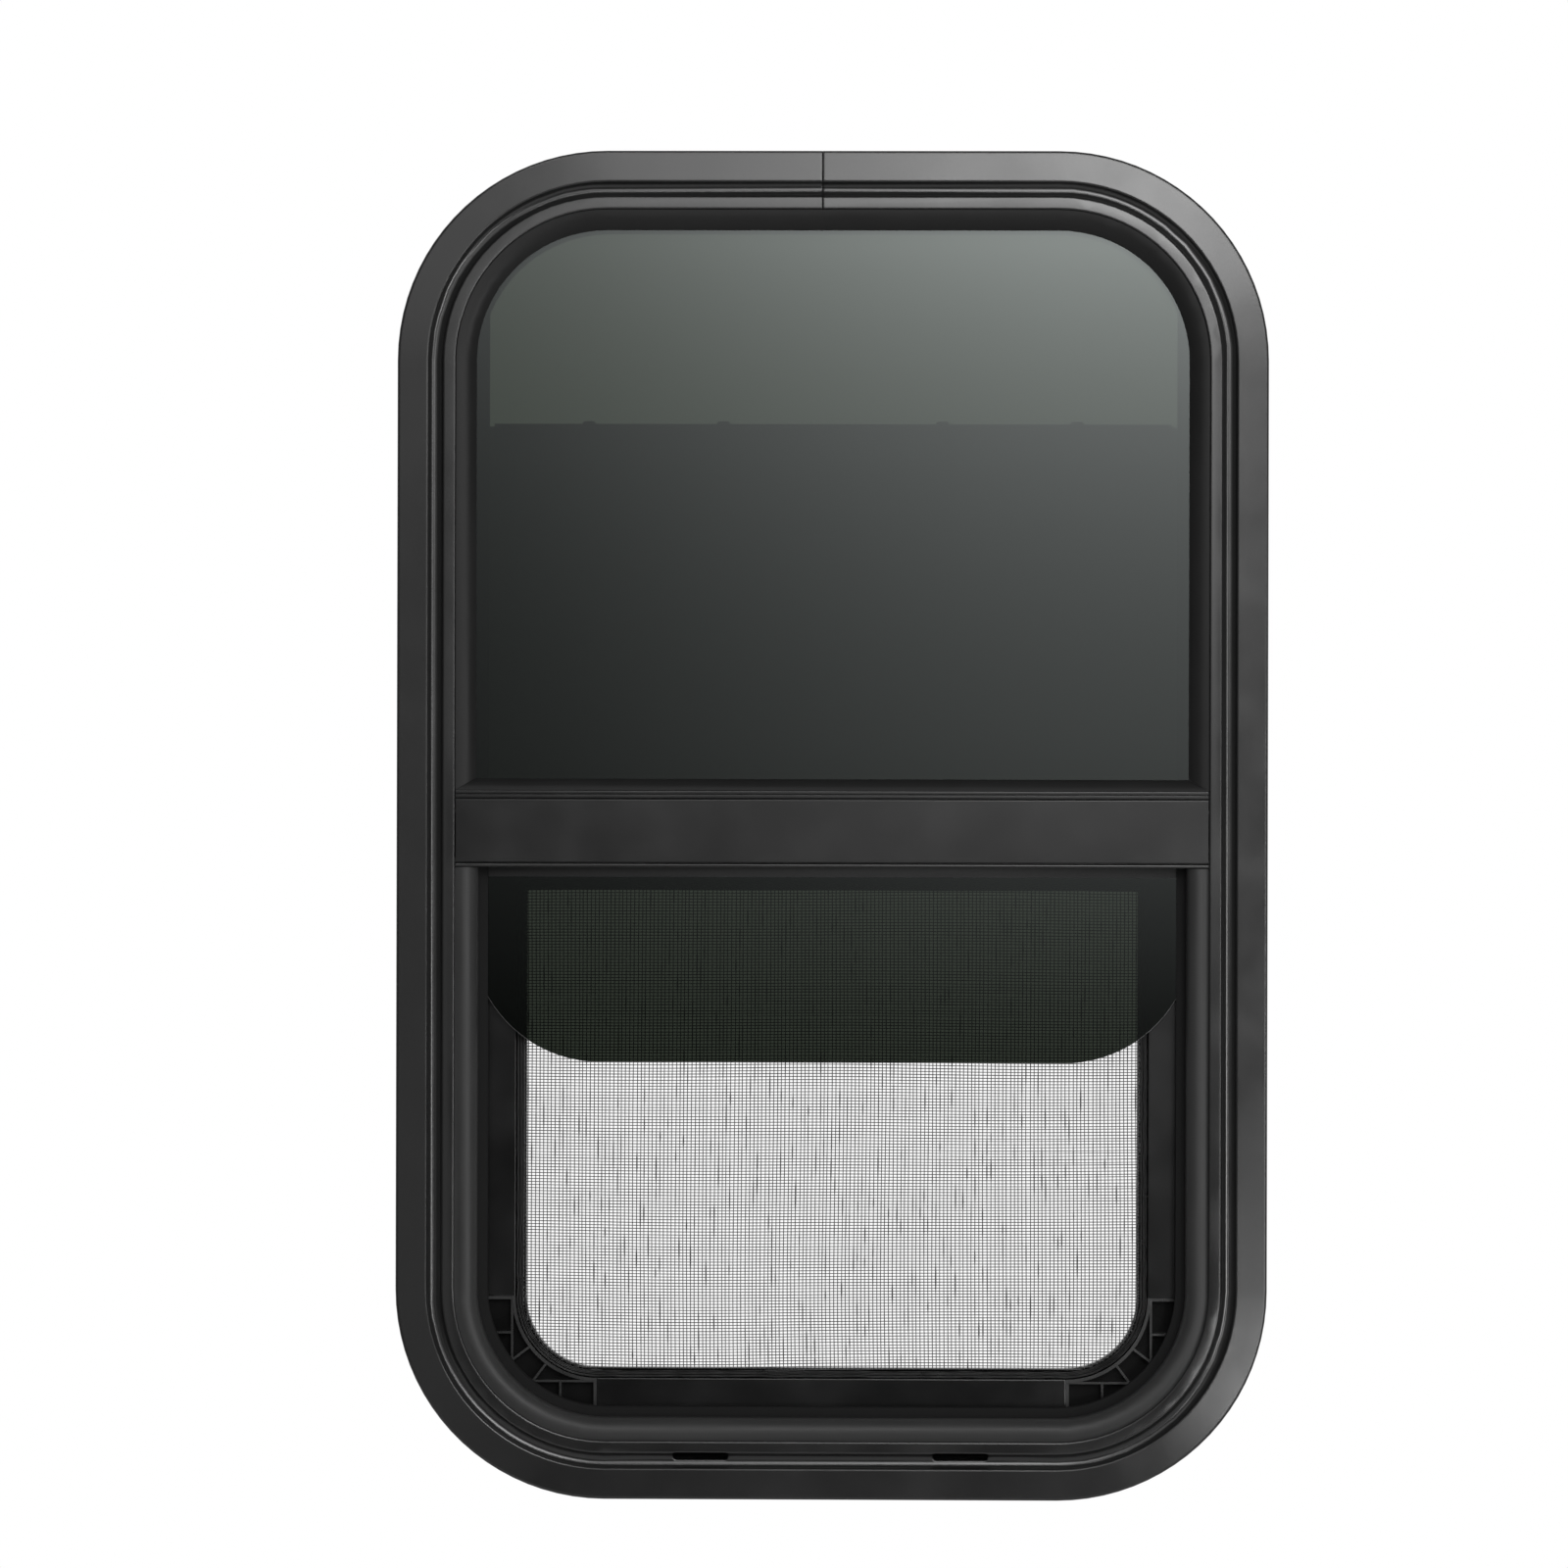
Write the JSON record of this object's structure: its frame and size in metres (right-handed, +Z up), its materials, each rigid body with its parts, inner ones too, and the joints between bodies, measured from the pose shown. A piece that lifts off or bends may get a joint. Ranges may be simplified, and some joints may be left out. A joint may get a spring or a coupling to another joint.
{
  "type": "sliding window",
  "caption": "Flush caravan window with a rounded black frame, a fixed upper pane, a lower sash that slides up behind it and a fly screen behind.",
  "frame": {"origin": "middle of the flange's back face, the plane that lies on the wall's outer skin", "axes": "+X to the right seen from outside, +Y from outside to inside, +Z up"},
  "size_m": [0.416, 0.0424, 0.644],
  "materials": {
    "frame_metal": "satin black coating on extruded aluminium",
    "rail_metal": "satin black coating on extruded aluminium",
    "pane": "grey tinted tempered glass",
    "black_rubber": "matt black",
    "pile": "short black pile",
    "sash_metal": "satin black coating",
    "pull_plastic": "matt black",
    "screen_metal": "satin black coating on rolled aluminium",
    "corner_plastic": "matt black moulding",
    "mesh": "woven charcoal coated glass-fibre yarn"
  },
  "bodies": {
    "frame": {"outer_frame": "frame_metal", "upper_glass": "pane", "upper_glazing_bead": "black_rubber", "rail_glazing_bead": "black_rubber", "mid_rail": "rail_metal", "rail_pile_seal": "pile", "lower_seal": "black_rubber", "run_channel": "black_rubber", "screen_left_bar": "screen_metal", "screen_right_bar": "screen_metal", "screen_top_bar": "screen_metal", "screen_bottom_bar": "screen_metal", "screen_corner_left": "corner_plastic", "screen_corner_right": "corner_plastic", "screen_spline": "black_rubber", "screen_mesh": "mesh"},
    "sash": {"sash_glass": "pane", "sash_top_rail": "sash_metal", "sash_pull_left": "pull_plastic", "sash_pull_right": "pull_plastic"}
  },
  "joints": [
    {"name": "sash_slide", "type": "slide", "parent": "frame", "child": "sash", "axis": [0, 0, 1], "range_m": [-0.172, 0.034]}
  ]
}
